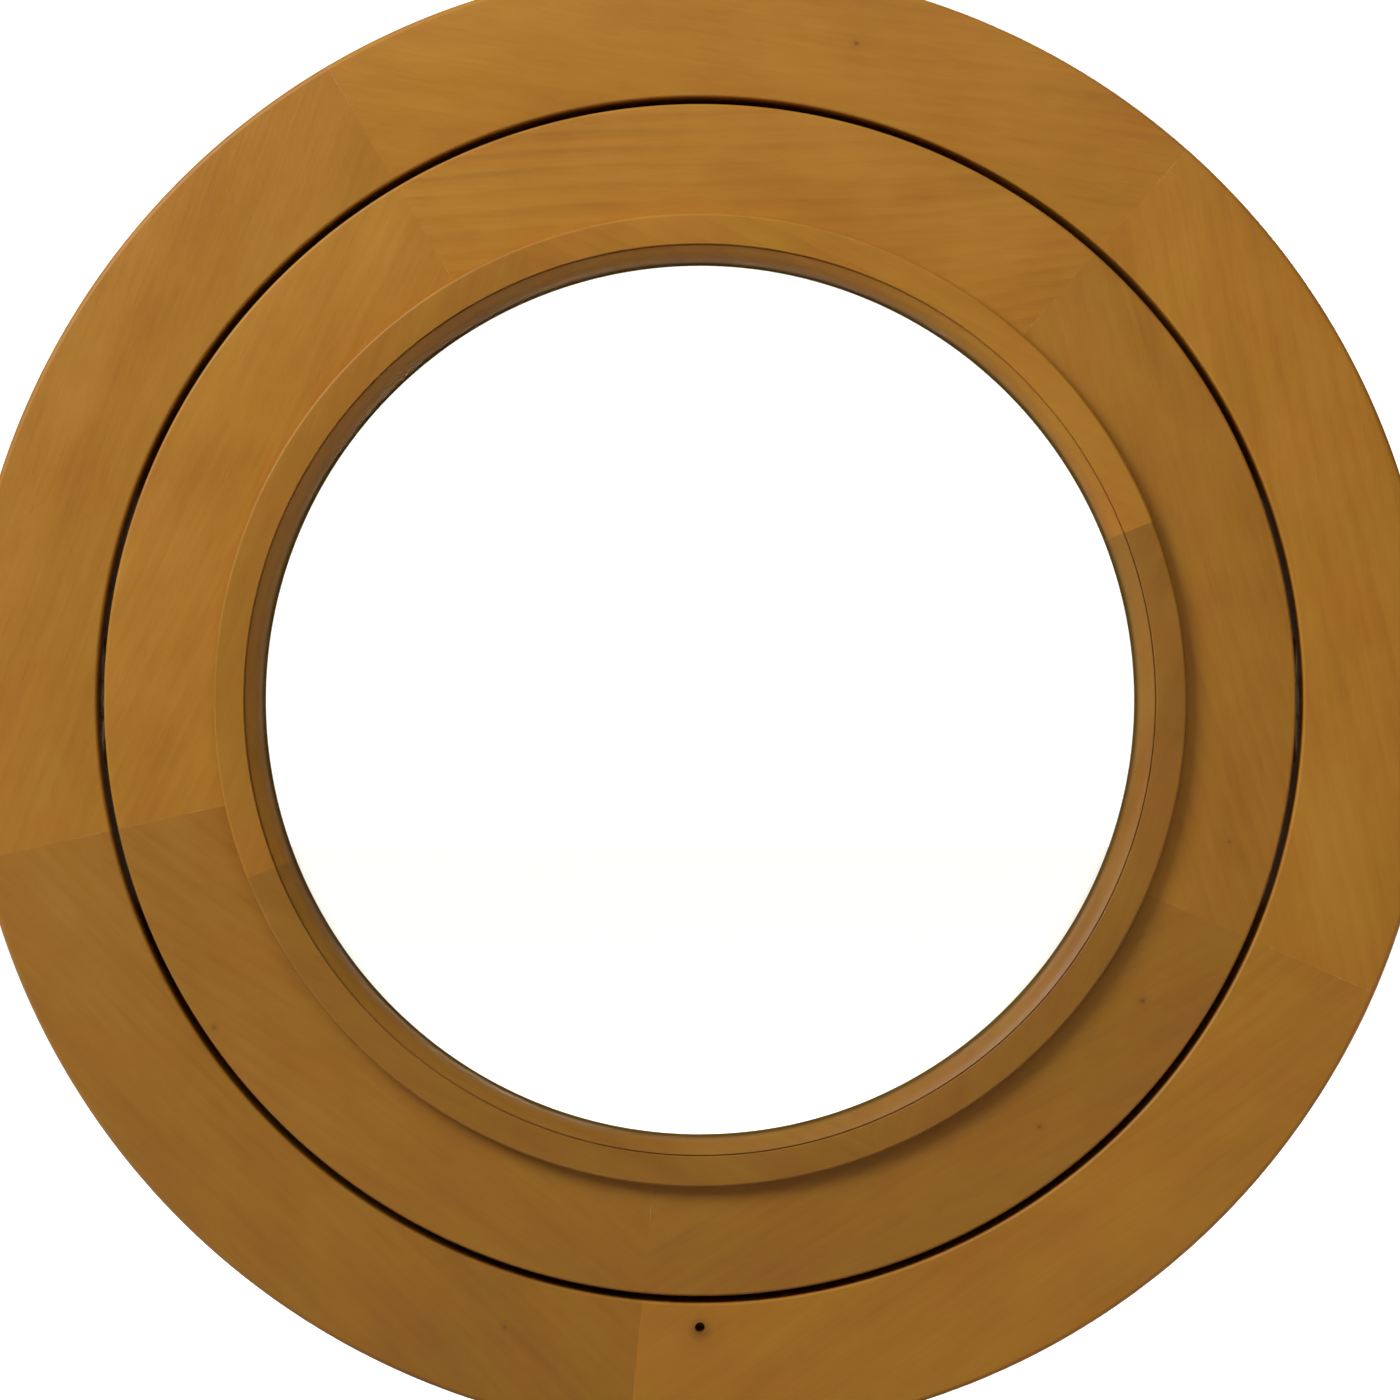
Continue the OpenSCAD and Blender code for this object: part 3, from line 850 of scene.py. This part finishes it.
class ROUNDWINDOW_OT_dowels(bpy.types.Operator):
    """Build the fluted dowels in the rings' joints"""

    bl_idname = "roundwindow.dowels"
    bl_label = "Dowels"

    flutes = 18

    def execute(self, context):
        material = beech()
        for kind in ("frame", "sash"):
            bars = [self.dowel(rod) for rod in rods(f"{kind}_dowels")]
            stand_for(joined(f"fluted_dowels_{kind}", bars), f"{kind}_dowels", material)
        return {"FINISHED"}

    def dowel(self, rod):
        end, depth = 1.5 * MM, sizes().flute
        rows = [(rod.radius - end, 0), (rod.radius, end), (rod.radius, rod.length - end)]
        rows.append((rod.radius - end, rod.length))

        def fluted(radius, along, angle):
            return radius - depth * (0.5 - 0.5 * math.cos(angle * self.flutes)) ** 2

        return spun("dowel", rows, rod.place, 4 * self.flutes, fluted)


# ---- Glass unit and what beds it ----


def plain_ring(name, node, material):
    """Builds a plain ring with rounded edges, as wide and high as its CAD node."""
    stand_for(turned(name, box_outline(reach(cad(node)), sizes().small_arris)), node, material)


class ROUNDWINDOW_OT_glass_unit(bpy.types.Operator):
    """Build the two panes with seamed edges, the spacer bar between them and the edge sealant"""

    bl_idname = "roundwindow.glass_unit"
    bl_label = "Glass Unit"

    pane_sides = 360

    def execute(self, context):
        seam = sizes().seam
        glass = clear_glass(reach(cad("spacer_bar")).inner, PANE.outer)
        for side in ("front", "rear"):
            pane = reach(cad(f"glass_{side}"))
            thick = pane.high - pane.low
            face, edge = pane.outer - seam, pane.outer
            profile = [(face, 0), (edge, seam), (edge, thick - seam), (face, thick)]
            place = aimed((0, -pane.low, 0), (0, -1, 0))
            piece = spun(f"pane_{side}", profile, place, self.pane_sides)
            stand_for(piece, f"glass_{side}", glass)
        look = finishes()
        aluminium = metal("spacer aluminium", look.aluminium, look.zinc, 0.4, 0.55)
        plain_ring("spacer", "spacer_bar", aluminium)
        butyl = moulded("butyl", look.rubber, (0.04, 0.04, 0.04, 1), 0.4, 0.6, 300, 0.1 * MM)
        plain_ring("unit_sealant", "edge_sealant", butyl)
        return {"FINISHED"}


class ROUNDWINDOW_OT_glazing_beds(bpy.types.Operator):
    """Build the tapes in front of and behind the glass, and the setting blocks under it"""

    bl_idname = "roundwindow.glazing_beds"
    bl_label = "Glazing Beds"

    def execute(self, context):
        dull, dusty = (0.05, 0.05, 0.052, 1), (0.085, 0.085, 0.085, 1)
        foam = moulded("foam tape", dull, dusty, 0.75, 0.95, 900, 0.25 * MM)
        for side in ("front", "rear"):
            plain_ring(f"glazing_tape_{side}", f"{side}_tape", foam)
        blocks = []
        for points in islands("setting_blocks"):
            outline = box_outline(reach(points), sizes().small_arris)
            blocks.append(turned("block", outline, *span(points)))
        black, rubbed = (0.02, 0.022, 0.03, 1), (0.05, 0.05, 0.055, 1)
        plastic = moulded("block plastic", black, rubbed, 0.35, 0.5, 500, 0.05 * MM)
        stand_for(joined("packing_blocks", blocks), "setting_blocks", plastic)
        return {"FINISHED"}


class ROUNDWINDOW_OT_seals(bpy.types.Operator):
    """Build the hollow rubber seals on the stops"""

    bl_idname = "roundwindow.seals"
    bl_label = "Seals"

    def execute(self, context):
        dusty = (0.045, 0.045, 0.043, 1)
        rubber = moulded("seal rubber", finishes().rubber, dusty, 0.5, 0.7, 700, 0.04 * MM)
        for kind in ("frame", "sash"):
            node = f"{kind}_stop_seal"
            points = cad(node)
            own, arc = reach(points), span(points)
            seal = turned(f"bulb_seal_{kind}", self.arch(own, 0.0), *arc)
            passage = turned("passage", self.arch(own, sizes().bulb_wall), arc[0] - STEP, arc[1] + STEP)
            stand_for(carve(seal, [passage]), node, rubber)
        return {"FINISHED"}

    def arch(self, own, inset, steps=16):
        """A flat foot with a half-round top, drawn in by so much on every side."""
        middle = (own.inner + own.outer) / 2
        wide = (own.outer - own.inner) / 2 - inset
        foot, tall = own.low + inset, own.high - own.low - 2 * inset
        shoulder = 0.25 * tall
        outline = [(middle - wide, foot), (middle + wide, foot)]
        for k in range(steps + 1):
            a = math.pi * k / steps
            outline.append((middle + wide * math.cos(a), foot + shoulder + (tall - shoulder) * math.sin(a)))
        return outline


# ---- Metalwork ----


def plate_body(name, plate, outward):
    """A pivot plate with eased front edges and round ends."""
    ease, steps = sizes().metal_edge, 4
    levels = []
    for k in range(steps + 1):
        a = math.radians(90 * k / steps)
        outline = stadium(plate.length, plate.width, ease * (1 - math.sin(a)))
        levels.append((outline, ease * (1 - math.cos(a))))
    levels.append((stadium(plate.length, plate.width), plate.far - plate.near))
    return stacked(name, levels, plate_place(plate, outward))


class ROUNDWINDOW_OT_pivots(bpy.types.Operator):
    """Build the bushed plates in the frame, the plates with pins on the sash, and the washers"""

    bl_idname = "roundwindow.pivots"
    bl_label = "Pivots"

    washer_sides = 64

    def execute(self, context):
        look = finishes()
        brass = metal("pivot brass", look.brass, (0.42, 0.25, 0.09, 1), 0.25, 0.42)
        zinc = metal("pivot steel", look.zinc, (0.50, 0.50, 0.42, 1), 0.28, 0.45)
        nylon = moulded("washer nylon", look.nylon, (0.5, 0.47, 0.4, 1), 0.35, 0.5, 400, 0.02 * MM)
        for name, _angle in PIVOTS:
            self.frame_pivot(name, brass)
            self.sash_pivot(name, zinc)
            self.washer(name, nylon)
        return {"FINISHED"}

    def boss(self, plate, outward):
        """The round boss on a plate's back, its end eased."""
        depth, radius = plate_boss(plate, outward)
        ease, start = sizes().metal_edge, (plate.far - plate.near) / 2
        profile = [(radius, start), (radius, depth - ease), (radius - ease, depth)]
        return spun("boss", profile, plate_place(plate, outward))

    def screw_holes(self, node, side):
        return [screw_hole(rod) for rod in rods(node) if rod.place.translation.x * side > 0]

    def frame_pivot(self, name, material):
        plate, pin = pivot(f"frame_pivot_{name}"), pivot(f"sash_pivot_{name}")
        ease = sizes().metal_edge
        bore, bore_end = pin.outer_radius + GLUE_LINE, pin.outer + OVER - plate.near
        hole = [(bore + ease, -OVER), (bore + ease, 0), (bore, ease), (bore, bore_end)]
        piece = plate_body(f"bush_plate_{name}", plate, True)
        carve(piece, [self.boss(plate, True)], "UNION")
        holes = self.screw_holes("frame_pivot_screws", plate.side)
        carve(piece, [spun("bore", hole, plate_place(plate, True)), *holes])
        stand_for(piece, f"frame_pivot_{name}", material)

    def sash_pivot(self, name, material):
        plate = pivot(f"sash_pivot_{name}")
        ease, end = sizes().metal_edge, (plate.far - plate.near) / 2
        radius, tip = plate.outer_radius, plate.far - plate.outer
        profile = [(radius - ease, tip), (radius, tip + ease), (radius, end)]
        pin = spun("pin", profile, plate_place(plate, False))
        piece = plate_body(f"pin_plate_{name}", plate, False)
        carve(piece, [self.boss(plate, False), pin], "UNION")
        carve(piece, self.screw_holes("sash_pivot_screws", plate.side))
        stand_for(piece, f"sash_pivot_{name}", material)

    def washer(self, name, material):
        points = cad(f"friction_washer_{name}")
        side = math.copysign(1, points[0, 0])
        off_axis = np.hypot(points[:, 1], points[:, 2])
        start, end = np.abs(points[:, 0]).min(), np.abs(points[:, 0]).max()
        box = Reach(off_axis.min(), off_axis.max(), 0, end - start)
        profile = box_outline(box, sizes().small_arris / 2)
        place = aimed((side * start, 0, 0), (side, 0, 0))
        ring = spun(f"washer_{name}", profile, place, self.washer_sides, closed=True)
        stand_for(ring, f"friction_washer_{name}", material)


class ROUNDWINDOW_OT_fixings(bpy.types.Operator):
    """Build the countersunk wood screws and the brads that pin the bead"""

    bl_idname = "roundwindow.fixings"
    bl_label = "Screws and Brads"

    screws = ("frame_stop_screws", "sash_stop_screws", "frame_pivot_screws", "sash_pivot_screws")
    threaded = 0.62
    rows_a_turn = 6
    screw_sides = 24
    brad_sides = 20
    turn_step = 37

    def execute(self, context):
        look = finishes()
        zinc = metal("screw steel", look.zinc, (0.52, 0.50, 0.40, 1), 0.25, 0.42)
        for node in self.screws:
            made = [self.screw(rod, i) for i, rod in enumerate(rods(node))]
            stand_for(joined(f"wood_{node}", made), node, zinc)
        made = [self.brad(rod) for rod in rods("bead_brads")]
        stand_for(joined("steel_brads", made), "bead_brads", zinc)
        return {"FINISHED"}

    def screw(self, rod, turn):
        """A countersunk wood screw with a cross recess and a thread to its tip."""
        head, shank, rows = rod.radius, rod.radius / 2, []
        pitch, depth = sizes().thread_pitch, sizes().thread_depth
        start, tip = rod.length * (1 - self.threaded), rod.length - 2 * shank
        for k in range(round((rod.length - start) / pitch * self.rows_a_turn) + 1):
            z = min(start + k * pitch / self.rows_a_turn, rod.length)
            rows.append((shank * max(0.15, min(1, (rod.length - z) / (2 * shank))), z))

        def thread(radius, z, angle):
            if z < start:
                return radius
            wave = abs((z / pitch - angle / (2 * math.pi)) % 1 - 0.5) * 2
            share = min(1, (z - start) / pitch, max(0.1, (rod.length - z) / (rod.length - tip)))
            return radius - depth * share * min(1, 1.6 * wave)

        profile = [(head - 0.2 * MM, 0), (head, 0.12 * MM), (shank, shank), (shank, start * 0.98), *rows]
        piece = spun("screw", profile, rod.place, self.screw_sides, thread)
        place = rod.place @ Matrix.Rotation(math.radians(self.turn_step * turn), 4, "Z")
        return carve(piece, [self.recess(place, shank)])

    def recess(self, place, size):
        """A cutter for a cross recess that narrows as it deepens."""
        arm, half = 1.05 * size, 0.24 * size
        corner = [(arm, -half), (arm, half), (half, half)]
        cross = []
        for k in range(4):
            turn = Matrix.Rotation(math.radians(90 * k), 2)
            cross += [tuple(turn @ Vector(point)) for point in corner]
        levels = ((1.08, -0.3), (1.0, 0.0), (0.4, 0.85))
        return stacked("recess", [([(x * k, y * k) for x, y in cross], z * size) for k, z in levels], place)

    def brad(self, rod):
        """A lost-head brad: a slightly wider head, a thin shank and a point."""
        head, shank, end = rod.radius, rod.radius * 0.88, rod.length
        profile = [(head * 0.7, 0), (head, 0.2 * MM), (head, 1.1 * MM), (shank, 1.5 * MM)]
        profile += [(shank, end - 2.5 * MM), (0.05 * MM, end)]
        return spun("brad", profile, rod.place, self.brad_sides)


# ---- Stage ----


# Each area light's name, which is also its power's, its width and its place.
LIGHTS = (
    ("key", 1.5, (-1.97, -1.82, 1.78)),
    ("top", 1.2, (0.3, -1.3, 1.1)),
    ("rear", 1.6, (1.2, 2.4, 1.7)),
)


class ROUNDWINDOW_OT_stage(bpy.types.Operator):
    """Set the floor, the soft lights and the camera"""

    bl_idname = "roundwindow.stage"
    bl_label = "Stage"

    def execute(self, context):
        own = context.scene.window_stage
        floor = self.floor(own)
        self.surroundings(own)
        for name, width, place in LIGHTS:
            self.light(name, getattr(own, name), width, place)
        self.floor_light(own, floor)
        self.camera(own)
        context.scene.view_settings.view_transform = "Standard"
        return {"FINISHED"}

    def floor(self, own):
        half = own.floor_size / 2
        corners = [(half, half), (-half, half), (-half, -half), (half, -half)]
        place = Matrix.Translation((0, 0, cad_box[0].z))
        slab = stacked("floor", [(corners, -20 * MM), (corners, 0)], place)
        paint = Finish("floor paint", Roughness=0.6, Specular_IOR_Level=0.2)
        cloud = paint.noise(paint.place, 1.5, 2.0)
        paint.shade("Base Color", paint.mix(cloud, own.floor, scaled(own.floor, 1.02)))
        slab.data.materials.append(paint.material)
        slab.visible_diffuse = False
        return slab

    def surroundings(self, own):
        """Even warm light from all round, with a brighter plain white behind the window."""
        world = bpy.data.worlds.new("studio")
        bpy.context.scene.world = world
        world.use_nodes = True
        tree = world.node_tree
        path = add_node(tree, "ShaderNodeLightPath").outputs
        depths = {0: path["Diffuse Depth"], 1: path["Glossy Depth"]}
        bounces = add_node(tree, "ShaderNodeMath", depths).outputs[0]
        seen = add_node(tree, "ShaderNodeMath", {0: bounces, 1: 0.5}, operation="LESS_THAN").outputs[0]
        levels = {"Value": seen, "To Min": own.ambient, "To Max": own.background}
        tints = {0: seen, 6: own.ambient_tint, 7: (1, 1, 1, 1)}
        sky = tree.nodes["Background"].inputs
        feed(tree, sky["Strength"], add_node(tree, "ShaderNodeMapRange", levels).outputs[0])
        feed(tree, sky["Color"], add_node(tree, "ShaderNodeMix", tints, data_type="RGBA").outputs[2])

    def light(self, name, power, width, place):
        """A soft square light that faces the window's centre."""
        lamp = bpy.data.lights.new(name, "AREA")
        lamp.energy = power
        lamp.size = width
        obj = placed(name, lamp)
        obj.location = place
        obj.rotation_mode = "QUATERNION"
        obj.rotation_quaternion = (-Vector(place)).to_track_quat("-Z", "Y")
        obj.visible_camera = False

    def floor_light(self, own, floor):
        """A wide light from overhead that falls on the floor alone and keeps it white."""
        only = bpy.data.collections.new("lit from overhead")
        only.objects.link(floor)
        lamp = bpy.data.lights.new("overhead", "SUN")
        lamp.energy = own.overhead
        lamp.angle = math.radians(80)
        placed("overhead", lamp).light_linking.receiver_collection = only

    def camera(self, own):
        """Level with the window's centre and square to its face."""
        lens = bpy.data.cameras.new("camera")
        lens.lens = lens.sensor_width * own.distance / own.view_width
        obj = placed("camera", lens)
        obj.location = (0, -FRAME.high - own.distance, 0)
        obj.rotation_euler = (math.radians(90), 0, 0)
        bpy.context.scene.camera = obj


# ---- Add-on ----


SETTINGS = {"window_sizes": WindowSizes, "window_finishes": WindowFinishes, "window_stage": StageSettings}
BUILDERS = (
    ROUNDWINDOW_OT_frame_ring,
    ROUNDWINDOW_OT_sash_ring,
    ROUNDWINDOW_OT_glazing_bead,
    ROUNDWINDOW_OT_outside_stops,
    ROUNDWINDOW_OT_dowels,
    ROUNDWINDOW_OT_glass_unit,
    ROUNDWINDOW_OT_glazing_beds,
    ROUNDWINDOW_OT_seals,
    ROUNDWINDOW_OT_pivots,
    ROUNDWINDOW_OT_fixings,
    ROUNDWINDOW_OT_stage,
)


class ROUNDWINDOW_PT_panel(bpy.types.Panel):
    """Sizes, finishes and build steps of the round window"""

    bl_label = "Round Window"
    bl_idname = "ROUNDWINDOW_PT_panel"
    bl_space_type = "VIEW_3D"
    bl_region_type = "UI"
    bl_category = "Round Window"

    def draw(self, context):
        for setting in SETTINGS:
            group, box = getattr(context.scene, setting), self.layout.box()
            for name in group.__annotations__:
                box.prop(group, name)
        for builder in BUILDERS:
            self.layout.operator(builder.bl_idname)


CLASSES = (*SETTINGS.values(), *BUILDERS, ROUNDWINDOW_PT_panel)


def register():
    for cls in CLASSES:
        bpy.utils.register_class(cls)
    for name, group in SETTINGS.items():
        setattr(bpy.types.Scene, name, bpy.props.PointerProperty(type=group))


def unregister():
    for name in SETTINGS:
        delattr(bpy.types.Scene, name)
    for cls in reversed(CLASSES):
        bpy.utils.unregister_class(cls)


def main():
    register()
    for builder in BUILDERS:
        group, name = builder.bl_idname.split(".")
        getattr(getattr(bpy.ops, group), name)()


if __name__ == "__main__":
    main()
